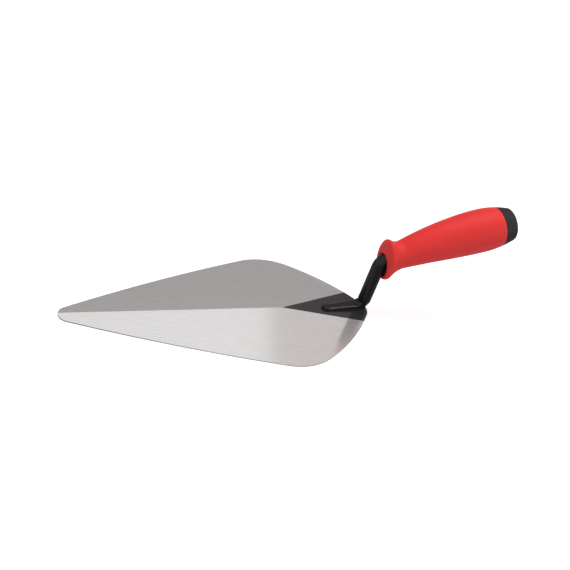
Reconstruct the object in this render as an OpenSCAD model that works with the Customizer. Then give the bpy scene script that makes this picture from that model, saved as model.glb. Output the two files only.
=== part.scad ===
// Brick trowel: a ground steel blade, a welded gooseneck shank and a two-part moulded handle.
// The origin lies on the blade's underside, straight below the neck. +X points to the handle, +Z is up.

/* [Blade] */
// Length of the blade from its tip to its heel
blade_l = 277.5; // [200:0.5:330]
// Width of the blade across its shoulders
blade_w = 140; // [110:1:170]
// Thickness of the blade at the un-ground land
blade_t = 3; // [2:0.1:4]
// Thickness that grinding leaves at the shoulders' edges
edge_t = 1; // [0.6:0.1:1.6]
// Distance from the heel's end to the widest place
shoulder_back = 87; // [75:0.5:105]
// Distance from the neck's axis to the heel's end
heel_out = 3.5; // [3:0.5:9]
// Offset of the heel's middle from the ridge, toward the side that faces -Y
heel_side = 3; // [0:0.5:5]
// Radius of the tip
tip_r = 8.5; // [4:0.5:14]
// Radius of the long side curves
side_r = 1600; // [900:10:3000]
// Radius of the shoulders
shoulder_r = 52.5; // [40:0.5:65]
// Radius of the back curves between shoulder and heel
back_r = 200; // [150:1:500]
// Radius of the heel
heel_r = 7.5; // [6:0.5:14]
// Radius of the heel on the side that faces -Y
heel_near_r = 15.5; // [6:0.5:20]
// Length of the un-ground land from the heel's end to its point
land_l = 84; // [65:0.5:110]
// Width of the un-ground land in line with the heel's end
land_w = 46; // [30:1:56]
// Offset of the land's middle from the ridge in line with the heel's end, toward the side that faces -Y
land_side = 0.6; // [0:0.1:1.5]

/* [Shank] */
// Diameter of the neck
neck_d = 12; // [10:0.5:14]
// Diameter of the neck's base where it stands on the blade
base_d = 7; // [6:0.1:11]
// Height of the neck's narrowed base
base_h = 8; // [4:0.5:12]
// Height at which the neck's axis crosses the handle's axis
crossing_h = 57; // [50:0.5:75]
// Radius of the neck's bend along its centre line
bend_r = 12; // [10:0.5:20]
// Extra thickness that forging leaves in the bend
bend_swell = 0.2; // [0.1:0.05:0.4]
// Length of the foot ahead of the neck's axis
foot_l = 41; // [32:1:52]
// Width of the foot, where it meets the neck
foot_w = 9.5; // [8:0.5:12.5]
// Width of the foot at its nose
nose_w = 6.5; // [5:0.5:8]
// Turn of the foot about the neck, toward the side that faces -Y
foot_turn = 4; // [0:0.5:6]
// Height of the foot above the land, where it meets the neck
foot_h = 4.5; // [3.5:0.1:7]
// Length of the rounded nose of the foot
nose_l = 4; // [2:0.5:8]
// Height of the foot above the land, at its nose
nose_h = 2.3; // [1.8:0.1:3.5]
// Radius of the fillet between the foot and the neck
fillet_r = 2; // [1:0.5:5]
// Diameter of the tang inside the handle
tang_d = 9; // [7:0.5:10]
// Length of the shoulder between the neck and the tang
shoulder_l = 2.5; // [1:0.5:5]
// Length of the tang behind the bend
tang_l = 78; // [50:1:90]
// Length of the tang's pointed end
point_l = 9; // [5:0.5:14]
// Diameter of the flat at the tang's pointed end
point_d = 5.4; // [4:0.1:6.5]
// Width of the weld bead beside the foot
weld_leg = 1.4; // [0.8:0.1:2]
// Height of the weld bead's crown
weld_h = 2; // [1.2:0.1:2.6]

/* [Handle] */
// Upward tilt of the handle
handle_tilt = 20; // [12:0.5:28]
// Length of the grip from its mouth to its rear edge
grip_l = 112.5; // [104:0.5:125]
// Distance from the neck's axis to the middle of the mouth, along the handle
mouth_at = 1.7; // [1:0.1:4]
// Height of the front flange
flange_h = 40.5; // [35:0.5:46]
// Width of the front flange
flange_w = 29; // [25:0.5:36]
// Length of the flange's rounded front
flange_l = 4.5; // [2:0.5:7]
// Lean of the flange back from square, with its lower edge forward
flange_lean = 10; // [0:0.5:20]
// Length behind the waist over which the flange's lean fades
lean_l = 25.5; // [15:0.5:40]
// Width of the flat lip round the mouth
lip_w = 1.2; // [0.8:0.1:2]
// Length from the flange's crest to the waist
neck_in = 12; // [8:0.5:16]
// Sharpness of the flare from the waist to the flange, where 1 is a cone
flare = 1.9; // [1.2:0.1:3]
// Diameter of the grip at its waist
waist_d = 25.2; // [25:0.1:29]
// Diameter of the grip at its belly
belly_d = 39.5; // [34:0.5:46]
// Distance from the rear edge forward to the belly
belly_ahead = 16.5; // [12:0.5:30]
// Diameter of the grip at its rear edge
rear_d = 36.5; // [30:0.5:38.5]
// Rise of the grip's arched back
grip_bow = 2; // [0:0.1:3]
// How soon the swell starts behind the waist
swell_start = 1.35; // [0.6:0.05:1.5]
// Diameter of the core
core_d = 19.5; // [18:0.5:21]
// Height of the mouth
mouth_h = 23; // [20:0.5:25]
// Width of the mouth
mouth_w = 17.5; // [16:0.5:20.5]
// Drop of the mouth's middle below the flange's middle
mouth_drop = 4.6; // [3:0.1:5.5]
// Depth of the core's nose inside the mouth
nose_set = 1; // [0.5:0.1:2]
// Length of the core's butt, which turns with the arch
butt_l = 4; // [3:0.5:8]
// Step from the core's side down to its butt
butt_step = 0.5; // [0.2:0.1:1]
// Length of the end cap
cap_l = 13.5; // [8:0.5:18]
// Radius of the end cap's rim
cap_rim_r = 2.5; // [1.5:0.5:4]
// Rise of the end cap's domed face
cap_dome = 0.8; // [0.2:0.1:2]
// Diameter of the spigot under the end cap
spigot_d = 16; // [12:0.5:17]
// Length of the spigot under the end cap
spigot_l = 6; // [4:0.5:7]

/* [Fits] */
// Gap round the tang and neck in the core and grip
tang_gap = 0.1; // [0.05:0.05:0.3]
// Gap between the grip and the core
mould_gap = 0.1; // [0.05:0.05:0.3]
// Gap between the end cap and the grip and spigot
cap_gap = 0.1; // [0.05:0.05:0.3]

/* [Hidden] */
$fn = 64;
// Number of straight steps in one arc of the blade's outline
arc_steps = 10;
// Sides of a ring of the grip
ring_sides = 40;
// Steps of a foot section from base to base
dome_steps = 12;
// Squareness of the foot's domed section, where 1 is an ellipse
dome_power = 0.55;
// Angle between the steps of a rounded nose, flange or rim
round_step = 15;
// Steps of the foot's body, of its root and of the grip's parts
body_steps = 4;
root_steps = 5;
back_steps = 7;
swell_steps = 10;
tail_steps = 4;
// Steps of the core's nose, from the leaning mouth to the straight body
nose_steps = 6;
// Lap of the straight bars into the bend
bend_lap = 1;
// Reach of the cutting blocks past the blade
far = blade_l + blade_w;

steel = [0.78, 0.77, 0.76];
lacquer = [0.13, 0.12, 0.13];
weld_black = [0.16, 0.15, 0.16];
core_black = [0.07, 0.07, 0.07];
grip_red = [0.86, 0.2, 0.19];
cap_black = [0.1, 0.1, 0.1];

// Basic helpers
function mix(a, b, t) = a + (b - a) * t;
function clamp01(t) = min(1, max(0, t));
function smooth(t) = t * t * (3 - 2 * t);
function angle_to(a, b) = atan2(b.y - a.y, b.x - a.x);
function powered(v, p) = sign(v) * pow(abs(v), p);

// Points of an arc, from one angle to another
function arc(c, r, from, to) =
    [for (i = [0 : arc_steps]) let (a = mix(from, to, i / arc_steps)) c + r * [cos(a), sin(a)]];

// Middle of a large circle of radius R that two small circles touch from inside, on the right of a to b
function outer_middle(a, ra, b, rb, R) =
    let (d = norm(b - a), along = (b - a) / d, across = [along.y, -along.x])
    let (x = ((R - ra) * (R - ra) - (R - rb) * (R - rb) + d * d) / (2 * d))
    a + along * x + across * sqrt(max(0, (R - ra) * (R - ra) - x * x));

// Solid skin over a list of rings, closed by flat ends
module skin(rings) {
    n = len(rings[0]);
    last = len(rings) - 1;
    sides = [
        for (i = [0 : last - 1], j = [0 : n - 1])
            let (a = i * n + j, b = i * n + (j + 1) % n)
            each [[a, b, b + n], [a, b + n, a + n]]
    ];
    front = [for (j = [n - 1 : -1 : 0]) j];
    rear = [for (j = [0 : n - 1]) last * n + j];
    polyhedron([for (r = rings) each r], concat([front], sides, [rear]));
}

// Blade: a chain of touching arcs on each side of the ridge
heel_x = heel_out;
tip_x = heel_x - blade_l;
apex_x = heel_x - land_l;
widest_x = heel_x - shoulder_back;
tip_c = [tip_x + tip_r, 0];
shoulder_c = [widest_x, blade_w / 2 - shoulder_r];
side_c = outer_middle(tip_c, tip_r, shoulder_c, shoulder_r, side_r);

// Outline of one half from tip to heel, with the heel's middle at heel_y and radius r
function half_outline(heel_y, r) =
    let (heel_c = [heel_x - r, heel_y])
    let (back_c = outer_middle(shoulder_c, shoulder_r, heel_c, r, back_r))
    concat(
        arc(tip_c, tip_r, 180, angle_to(side_c, tip_c)),
        arc(side_c, side_r, angle_to(side_c, tip_c), angle_to(side_c, shoulder_c)),
        arc(shoulder_c, shoulder_r, angle_to(side_c, shoulder_c), angle_to(back_c, shoulder_c)),
        arc(back_c, back_r, angle_to(back_c, shoulder_c), angle_to(back_c, heel_c)),
        arc(heel_c, r, angle_to(back_c, heel_c), 0)
    );

// Whole outline: the +Y half from tip to heel, then the -Y half back to the tip
left_half = half_outline(-heel_side, heel_r);
right_half = half_outline(heel_side, heel_near_r);
blade_outline = concat(
    left_half,
    [for (i = [len(right_half) - 2 : -1 : 1]) [right_half[i].x, -right_half[i].y]]
);

// Block above the ground face on the left of the ridge, which falls away from the land's side
module grinding_cut(land_half_w) {
    land_turn = atan2(land_half_w, land_l);
    shoulder_off = (blade_w / 2 - (widest_x - apex_x) * tan(land_turn)) * cos(land_turn);
    grind_fall = atan2(blade_t - edge_t, shoulder_off);
    translate([apex_x, 0, blade_t])
        rotate([0, 0, land_turn])
            rotate([-grind_fall, 0, 0])
                translate([-far, -far, 0])
                    cube([2 * far, 2 * far, far]);
}

module blade() {
    color(steel)
        difference() {
            linear_extrude(blade_t) polygon(blade_outline);
            grinding_cut(land_w / 2 - land_side);
            mirror([0, 1, 0]) grinding_cut(land_w / 2 + land_side);
        }
}

// Shank: flat foot, upright neck, bend and tang
bend_turn = 90 - handle_tilt;
bend_reach = bend_r * tan(bend_turn / 2);
bend_z = crossing_h - bend_reach;
neck_r = neck_d / 2;
tang_end = bend_reach + tang_l;
shoulder_from = bend_reach + bend_lap;
shoulder_to = shoulder_from + shoulder_l;

// One domed section of the foot at x, with half width hw and height h
function foot_section(x, hw, h) = [
    for (i = [0 : dome_steps])
        let (a = 180 * i / dome_steps)
        [x, -hw * powered(cos(a), dome_power), blade_t + h * powered(sin(a), dome_power)]
];

// Height of the foot's crown at x: a wedge that ends in a fillet at the neck
function crown(x) =
    let (near = clamp01((x - root_x) / fillet_r))
    let (along = clamp01((foot_l + x) / (foot_l + root_x)))
    mix(nose_h, foot_h, along) + fillet_r * (1 - sqrt(1 - near * near));

// Plan of the foot, as pairs of x and half width
root_x = -neck_r - fillet_r;
foot_nose = [
    for (a = [round_step : round_step : 90])
        [-foot_l + nose_l * (1 - cos(a)), nose_w / 2 * sin(a)]
];
foot_body = [
    for (i = [1 : body_steps])
        let (u = i / body_steps)
        [mix(nose_l - foot_l, root_x, u), mix(nose_w, foot_w, u) / 2]
];
foot_root = [for (i = [1 : root_steps]) [root_x + fillet_r * i / root_steps, foot_w / 2]];
foot_plan = concat(foot_nose, foot_body, foot_root, [[0, min(foot_w, base_d) / 2]]);

// Places a shape made along +X onto the handle's axis
module on_handle() {
    translate([0, 0, crossing_h]) rotate([0, -handle_tilt, 0]) children();
}

// Round bar along +X between two stations
module bar(from, to, d) {
    translate([from, 0, 0]) rotate([0, 90, 0]) cylinder(h = to - from, d = d);
}

// Neck with its base, bend and tang, thicker by gap all round
module neck_and_tang(gap) {
    r = neck_r + gap;
    tang_r = tang_d / 2 + gap;
    rotate_extrude()
        polygon([
            [0, blade_t], [base_d / 2 + gap, blade_t], [r, blade_t + base_h],
            [r, bend_z + bend_lap], [0, bend_z + bend_lap]
        ]);
    translate([bend_r, 0, bend_z])
        rotate([90, 0, 0])
            rotate([0, 0, 180 - bend_turn])
                rotate_extrude(angle = bend_turn) translate([bend_r, 0]) circle(r = r + bend_swell / 2);
    on_handle()
        rotate([0, 90, 0])
            rotate_extrude()
                polygon([
                    [0, bend_reach - bend_lap], [r, bend_reach - bend_lap], [r, shoulder_from],
                    [tang_r, shoulder_to], [tang_r, tang_end - point_l],
                    [point_d / 2 + gap, tang_end + gap], [0, tang_end + gap]
                ]);
}

module shank_body() {
    rotate([0, 0, foot_turn]) skin([for (p = foot_plan) foot_section(p.x, p.y, crown(p.x))]);
    neck_and_tang(0);
}

module shank() {
    color(lacquer) shank_body();
}

// Weld bead: a low crown round the foot, outside the shank
weld_half_w = foot_w / 2 + weld_leg;
weld_nose_half_w = nose_w / 2 + weld_leg;
weld_nose_l = nose_l + weld_leg;
weld_nose = [
    for (a = [round_step : round_step : 90])
        [-foot_l - weld_leg + weld_nose_l * (1 - cos(a)), weld_nose_half_w * sin(a)]
];
weld_plan = concat(weld_nose, [[root_x, weld_half_w], [-base_d / 2, weld_half_w]]);

module weld_bead() {
    color(weld_black)
        difference() {
            rotate([0, 0, foot_turn]) skin([for (p = weld_plan) foot_section(p.x, p.y, weld_h)]);
            shank_body();
        }
}

// Handle: stations along the handle's axis, from the mouth to the rear edge
crest_at = mouth_at + flange_l;
waist_at = crest_at + neck_in;
rear_at = mouth_at + grip_l;
belly_at = rear_at - belly_ahead;
// Half height of the lip at which the flange's rounded front starts, and its share across
lip_r = mouth_h / 2 + lip_w;
lip_squeeze = (mouth_w / 2 + lip_w) / lip_r;
butt_d = core_d - 2 * butt_step;

// Swell from the waist to the belly
function swell(u) =
    swell_start * u + (3 - 2 * swell_start) * u * u + (swell_start - 2) * u * u * u;
// Radius of the tail behind the belly, which the end cap continues
function tail_r(s) =
    let (u = (s - belly_at) / belly_ahead)
    (belly_d - (belly_d - rear_d) * u * u) / 2;
// Height of a ring's middle above the axis: an arch from the waist to the rear edge
arch_half = (rear_at - waist_at) / 2;
function arch_off(s) = (s - waist_at) / arch_half - 1;
function bow(s) = grip_bow * (1 - arch_off(s) * arch_off(s));
// Lean of a ring that stands square to the arch, and the lean that the flange blends into
function arch_lean(s) = atan(2 * grip_bow * arch_off(s) / arch_half);
function lean(s) =
    mix(flange_lean, arch_lean(s), smooth(clamp01((s - waist_at) / lean_l)));

// Rings of the grip as station, radius, share of the radius that is left across, and drop of the middle
squeeze = flange_w / flange_h;
flange_front = [
    for (a = [0 : round_step : 90])
        [
            crest_at - flange_l * cos(a), mix(lip_r, flange_h / 2, sin(a)),
            mix(lip_squeeze, squeeze, sin(a)), mouth_drop * (1 - sin(a))
        ]
];
flange_back = [
    for (i = [1 : back_steps])
        let (u = i / back_steps)
        [
            mix(crest_at, waist_at, u), mix(waist_d, flange_h, pow(1 - u, flare)) / 2,
            mix(squeeze, 1, smooth(u)), 0
        ]
];
grip_swell = [
    for (i = [1 : swell_steps])
        let (u = i / swell_steps)
        [mix(waist_at, belly_at, u), mix(waist_d, belly_d, swell(u)) / 2, 1, 0]
];
grip_tail = [
    for (i = [1 : tail_steps])
        let (s = mix(belly_at, rear_at, i / tail_steps))
        [s, tail_r(s), 1, 0]
];
grip_stations = concat(flange_front, flange_back, grip_swell, grip_tail);

// One ring of the grip, from its row in the list of stations
function grip_ring(p) = [
    for (j = [0 : ring_sides - 1])
        let (a = 360 * j / ring_sides, up = p[1] * sin(a) - p[3], l = lean(p[0]))
        [p[0] + up * sin(l), -p[1] * p[2] * cos(a), bow(p[0]) + up * cos(l)]
];

// Places a shape made along +X square to the grip's rear edge
module on_rear() {
    translate([rear_at, 0, 0]) rotate([0, arch_lean(rear_at), 0]) children();
}

// One ring of the core at station s, thicker by gap: oval and leaning in the mouth, round behind the waist
function core_ring(s, gap) =
    let (t = 1 - smooth(clamp01((s - mouth_at) / (waist_at - mouth_at))))
    let (half_h = mix(core_d, mouth_h, t) / 2 + gap, half_w = mix(core_d, mouth_w, t) / 2 + gap)
    let (l = flange_lean * t, drop = mouth_drop * t)
    [
        for (j = [0 : ring_sides - 1])
            let (a = 360 * j / ring_sides, up = half_h * sin(a) - drop)
            [s + up * sin(l), -half_w * cos(a), bow(mouth_at) * t + up * cos(l)]
    ];

// Outside of the core, thicker by gap all round, from one station in the mouth to one past the rear edge
module core_envelope(gap, nose_from, butt_to) {
    nose = [for (i = [0 : nose_steps]) mix(nose_from, waist_at, i / nose_steps)];
    on_handle() {
        skin([for (s = concat(nose, [rear_at - butt_l])) core_ring(s, gap)]);
        on_rear() bar(-2 * butt_l, butt_to, butt_d + 2 * gap);
    }
}

module handle_core() {
    color(core_black)
        difference() {
            union() {
                core_envelope(0, mouth_at + nose_set, 0);
                on_handle() on_rear() bar(-butt_l, spigot_l, spigot_d);
            }
            neck_and_tang(tang_gap);
        }
}

module grip_sleeve() {
    color(grip_red)
        difference() {
            on_handle() skin([for (p = grip_stations) grip_ring(p)]);
            core_envelope(mould_gap, mouth_at - flange_l, butt_l);
            neck_and_tang(tang_gap);
        }
}

// End cap: it continues the tail's curve to a rounded rim and a domed face
rim_at = cap_l - cap_rim_r;
rim_r = tail_r(rear_at + rim_at);
cap_side = [
    for (i = [0 : tail_steps])
        let (s = mix(cap_gap, rim_at, i / tail_steps))
        [tail_r(rear_at + s), s]
];
cap_rim = [
    for (a = [round_step : round_step : 90])
        [rim_r - cap_rim_r * (1 - cos(a)), rim_at + cap_rim_r * sin(a)]
];
cap_face = [
    for (i = [1 : tail_steps])
        let (u = i / tail_steps)
        [(rim_r - cap_rim_r) * (1 - u), cap_l + cap_dome * smooth(u)]
];

module end_cap() {
    color(cap_black)
        on_handle()
            on_rear()
                difference() {
                    rotate([0, 90, 0])
                        rotate_extrude() polygon(concat(cap_side, cap_rim, cap_face, [[0, cap_gap]]));
                    bar(0, spigot_l + cap_gap, spigot_d + 2 * cap_gap);
                }
}

blade();
shank();
weld_bead();
handle_core();
grip_sleeve();
end_cap();
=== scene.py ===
"""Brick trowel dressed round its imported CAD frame: ground blade, lacquered shank and soft-grip handle.

All sizes are in metres, in the frame of the CAD model: the origin lies on the blade's underside below the
neck, +X points to the handle's butt and +Z is up.
"""

import logging
import math
from dataclasses import dataclass
from enum import Enum, IntEnum

import bmesh
import bpy
from bmesh.types import BMEdge, BMesh, BMFace, BMVert
from mathutils import Matrix, Vector

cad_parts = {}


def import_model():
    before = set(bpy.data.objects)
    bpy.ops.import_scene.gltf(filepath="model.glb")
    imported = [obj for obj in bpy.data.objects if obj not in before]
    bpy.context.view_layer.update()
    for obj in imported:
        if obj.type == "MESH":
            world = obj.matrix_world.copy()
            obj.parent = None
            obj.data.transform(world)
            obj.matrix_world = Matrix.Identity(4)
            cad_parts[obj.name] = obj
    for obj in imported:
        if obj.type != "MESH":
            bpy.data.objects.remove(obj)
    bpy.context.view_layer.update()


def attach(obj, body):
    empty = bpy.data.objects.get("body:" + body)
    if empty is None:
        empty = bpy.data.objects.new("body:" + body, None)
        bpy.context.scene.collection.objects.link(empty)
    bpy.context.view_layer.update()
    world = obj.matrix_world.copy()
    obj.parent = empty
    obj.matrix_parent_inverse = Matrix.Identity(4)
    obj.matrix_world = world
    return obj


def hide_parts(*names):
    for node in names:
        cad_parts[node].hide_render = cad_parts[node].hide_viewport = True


LOG = logging.getLogger("brick_trowel")
BODY = "root"
WELD_DISTANCE = 1e-6

# Top of the blade's land, height where the axes of neck and handle cross, and the handle's upward tilt
LAND_Z = 0.003
CROSSING_H = 0.057
HANDLE_TILT = math.radians(20)

Colour = tuple[float, float, float]
Point = tuple[float, float, float]


class Slot(Enum):
    """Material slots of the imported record."""

    BLADE = "blade_steel"
    SHANK = "black_lacquer"
    WELD = "lacquered_weld"
    CORE = "core_plastic"
    GRIP = "soft_grip"
    CAP = "cap_plastic"


class BladeFinish(IntEnum):
    """Finishes of the blade, in the order of its materials."""

    GROUND = 0
    LAND = 1
    SHEARED = 2


# Shared mesh operations


def smooth(t: float) -> float:
    """Eases t from 0 to 1 with flat ends."""
    return t * t * (3 - 2 * t)


def clamp01(t: float) -> float:
    """Keeps t from 0 to 1."""
    return min(1.0, max(0.0, t))


def mix(a: float, b: float, t: float) -> float:
    """Blends a into b by the share t."""
    return a + (b - a) * t


def spread(start: float, end: float, steps: int) -> list[float]:
    """Even values after start, up to and with end."""
    return [mix(start, end, i / steps) for i in range(1, steps + 1)]


def ring_place(middle: Vector, side: Vector, up: Vector) -> Matrix:
    """Place of a unit circle.

    Args:
        middle: Middle of the ring.
        side: Arm from the middle to the ring's first point, as long as the radius.
        up: Arm a quarter turn further on.

    Returns:
        The matrix that carries the unit circle in the XY plane to that ring.
    """
    normal = side.cross(up).normalized()
    columns = (side, up, normal, middle)
    return Matrix([[column[row] for column in columns] for row in range(3)] + [[0, 0, 0, 1]])


def loft(bm: BMesh, places: list[Matrix], sides: int, closed_ends: bool) -> None:
    """Carries a unit circle through a row of places by extruding its edge.

    Args:
        bm: Mesh that receives the skin.
        places: Ring places from one end to the other.
        sides: Number of sides of each ring.
        closed_ends: Whether both ends get a face.
    """
    ring = bmesh.ops.create_circle(bm, segments=sides, radius=1.0, cap_ends=closed_ends)["verts"]
    edges = list({edge for vert in ring for edge in vert.link_edges})
    bmesh.ops.transform(bm, matrix=places[0], verts=ring)
    for last, place in zip(places, places[1:]):
        grown = bmesh.ops.extrude_edge_only(bm, edges=edges)["geom"]
        ring = [part for part in grown if isinstance(part, BMVert)]
        edges = [part for part in grown if isinstance(part, BMEdge) and set(part.verts) <= set(ring)]
        bmesh.ops.transform(bm, matrix=place @ last.inverted(), verts=ring)
    if closed_ends:
        bmesh.ops.contextual_create(bm, geom=edges)


def lathe(bm: BMesh, outline: list[tuple[float, float]], place: Matrix, steps: int) -> None:
    """Spins an outline of axial and radial places round the local X axis.

    Args:
        bm: Mesh that receives the turned shape.
        outline: Pairs of place along the axis and radius, from end to end.
        place: Matrix that carries the turned shape to its place.
        steps: Number of steps of the full turn.
    """
    verts = [bm.verts.new(place @ Vector((along, 0, radius))) for along, radius in outline]
    edges = [bm.edges.new(pair) for pair in zip(verts, verts[1:])]
    axis = (place.to_3x3() @ Vector((1, 0, 0))).normalized()
    middle, geom = place.translation, verts + edges
    bmesh.ops.spin(bm, geom=geom, cent=middle, axis=axis, angle=math.tau, steps=steps, use_merge=True)
    tidy(bm)


def tidy(bm: BMesh) -> None:
    """Merges doubles and turns all faces outward."""
    bmesh.ops.remove_doubles(bm, verts=bm.verts, dist=WELD_DISTANCE)
    bmesh.ops.recalc_face_normals(bm, faces=bm.faces)


def round_edges(bm: BMesh, edges: list[BMEdge], offset: float, segments: int) -> None:
    """Rounds edges with bevels that take their neighbours' finish.

    Args:
        bm: Mesh that holds the edges.
        edges: Edges that are rounded.
        offset: How far the rounding reaches from each edge.
        segments: Number of faces across it.
    """
    bmesh.ops.bevel(
        bm, geom=edges, offset=offset, affect="EDGES", segments=segments, profile=0.5, material=-1
    )


def cut_off(bm: BMesh, place: Vector, normal: Vector) -> list[BMEdge]:
    """Cuts away what lies beyond a plane.

    Args:
        bm: Mesh that is cut.
        place: A place on the plane.
        normal: Direction from the plane to what goes.

    Returns:
        The edges of the cut.
    """
    geom = bm.verts[:] + bm.edges[:] + bm.faces[:]
    cut = bmesh.ops.bisect_plane(bm, geom=geom, plane_co=place, plane_no=normal, clear_outer=True)
    return [part for part in cut["geom_cut"] if isinstance(part, BMEdge)]


def make_piece(bm: BMesh, name: str, node: str, smooth_angle: float = 40) -> bpy.types.Object:
    """Turns a finished bmesh into a piece that stands for a CAD node.

    Args:
        bm: Finished mesh, which is freed.
        name: Name of the piece.
        node: CAD node that the piece stands for.
        smooth_angle: Edges that turn by more degrees than this stay sharp.

    Returns:
        The new object, at the origin.
    """
    for face in bm.faces:
        face.smooth = True
    for edge in bm.edges:
        if len(edge.link_faces) == 2:
            edge.smooth = edge.smooth and edge.calc_face_angle(0) < math.radians(smooth_angle)
    mesh = bpy.data.meshes.new(name)
    bm.to_mesh(mesh)
    bm.free()
    piece = bpy.data.objects.new(name, mesh)
    bpy.context.scene.collection.objects.link(piece)
    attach(piece, BODY)
    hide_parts(node)
    LOG.info("%s: %d faces, stands for %s", name, len(mesh.polygons), node)
    return piece


# Shader graphs


class Graph:
    """Adds and links the nodes of one node tree."""

    # Places of the colour sockets among a Mix node's inputs and outputs
    MIX_FACTOR, MIX_FIRST, MIX_SECOND, MIX_RESULT = 0, 6, 7, 2

    def __init__(self, tree: bpy.types.NodeTree) -> None:
        """Keeps the tree that the nodes go into."""
        self.tree = tree

    def add(self, kind: str, settings: dict | None = None, **inputs: object) -> bpy.types.Node:
        """Adds one node.

        Args:
            kind: Blender's name of the node type.
            settings: Properties of the node.
            inputs: Values or sockets for the node's inputs, with underscores for the spaces in their names.

        Returns:
            The new node.
        """
        node = self.tree.nodes.new(kind)
        for key, value in (settings or {}).items():
            setattr(node, key, value)
        for key, value in inputs.items():
            self.feed(node.inputs[key.replace("_", " ")], value)
        return node

    def feed(self, socket: bpy.types.NodeSocket, value: object) -> None:
        """Links a socket to an input, or sets the input's value.

        Args:
            socket: The input.
            value: Socket that is linked to the input, or the value that it takes.
        """
        if isinstance(value, bpy.types.NodeSocket):
            self.tree.links.new(value, socket)
        else:
            socket.default_value = value

    def maths(self, operation: str, first: object, second: object = 0.0) -> bpy.types.NodeSocket:
        """Adds a Math node.

        Args:
            operation: Blender's name of the operation.
            first: First value or socket.
            second: Second one, which an operation on one value ignores.

        Returns:
            The socket of the result.
        """
        node = self.add("ShaderNodeMath", {"operation": operation})
        self.feed(node.inputs[0], first)
        self.feed(node.inputs[1], second)
        return node.outputs[0]

    def noise(
        self, vector: object, scale: object, detail: float, roughness: float = 0.5
    ) -> bpy.types.NodeSocket:
        """Adds a noise texture.

        Args:
            vector: Socket of the place.
            scale: Scale of the noise.
            detail: Number of finer layers.
            roughness: Strength of each finer layer.

        Returns:
            The socket of the noise's value.
        """
        node = self.add(
            "ShaderNodeTexNoise", Vector=vector, Scale=scale, Detail=detail, Roughness=roughness
        )
        return node.outputs[0]

    def blend(self, factor: object, first: object, second: object) -> bpy.types.NodeSocket:
        """Mixes two colours.

        Args:
            factor: Share of the second colour.
            first: First colour.
            second: Second colour.

        Returns:
            The socket of the mixed colour.
        """
        node = self.add("ShaderNodeMix", {"data_type": "RGBA"})
        self.feed(node.inputs[self.MIX_FACTOR], factor)
        self.feed(node.inputs[self.MIX_FIRST], first)
        self.feed(node.inputs[self.MIX_SECOND], second)
        return node.outputs[self.MIX_RESULT]

    def spread_to(
        self, value: object, low: object, high: object, start: float = 0.3, end: float = 0.7
    ) -> bpy.types.NodeSocket:
        """Carries one stretch of a value's range to low and high, and stays level outside it.

        Args:
            value: The value. The default stretch is the middle of a noise's range.
            low: Result at the start of the stretch.
            high: Result at its end.
            start: Start of the stretch.
            end: End of the stretch.

        Returns:
            The socket of the result.
        """
        node = self.add(
            "ShaderNodeMapRange", Value=value, From_Min=start, From_Max=end, To_Min=low, To_Max=high
        )
        return node.outputs[0]

    def group(self, tree: bpy.types.NodeTree, **inputs: object) -> dict[str, bpy.types.NodeSocket]:
        """Adds a node group and returns its output sockets by name."""
        node = self.add("ShaderNodeGroup", {"node_tree": tree}, **inputs)
        return {socket.name: socket for socket in node.outputs}


def new_group(
    name: str, values: list[str], outputs: list[str]
) -> tuple[Graph, dict[str, bpy.types.NodeSocket]]:
    """Starts a shader node group that takes a place, named Vector, and values.

    Args:
        name: Name of the group.
        values: Names of the inputs after the place.
        outputs: Names of the outputs, which are all values.

    Returns:
        The group's graph, and its input sockets by name.
    """
    tree = bpy.data.node_groups.new(name, "ShaderNodeTree")
    tree.interface.new_socket("Vector", in_out="INPUT", socket_type="NodeSocketVector")
    for label in values:
        tree.interface.new_socket(label, in_out="INPUT", socket_type="NodeSocketFloat")
    for label in outputs:
        tree.interface.new_socket(label, in_out="OUTPUT", socket_type="NodeSocketFloat")
    graph = Graph(tree)
    entry = graph.add("NodeGroupInput")
    return graph, {label: entry.outputs[label] for label in ("Vector", *values)}


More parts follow.
